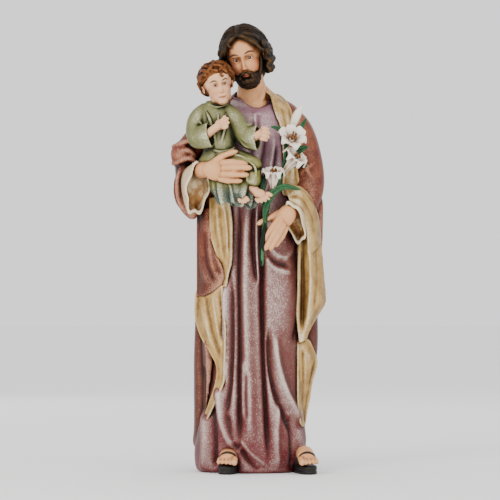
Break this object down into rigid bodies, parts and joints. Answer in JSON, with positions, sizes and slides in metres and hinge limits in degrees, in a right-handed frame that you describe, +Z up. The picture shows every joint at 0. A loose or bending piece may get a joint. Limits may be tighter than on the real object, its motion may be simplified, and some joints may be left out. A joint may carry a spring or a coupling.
{
  "type": "saint statue",
  "caption": "Painted cast resin statue of a bearded saint in a mauve tunic and red mantle, carrying a seated child and a stem of white lilies, flat underneath.",
  "frame": {"origin": "on the flat underside, below the middle of the robes", "axes": "+Z up from the underside to the crown, -Y towards the viewer that the figure faces, +X to that viewer's right, on the side of the lilies"},
  "size_m": [0.2197, 0.1769, 0.6314],
  "materials": {
    "painted_resin": "hand painted satin with a dark wash in the folds"
  },
  "bodies": {
    "root": {"saint_joseph_statue": "painted_resin"}
  },
  "joints": []
}
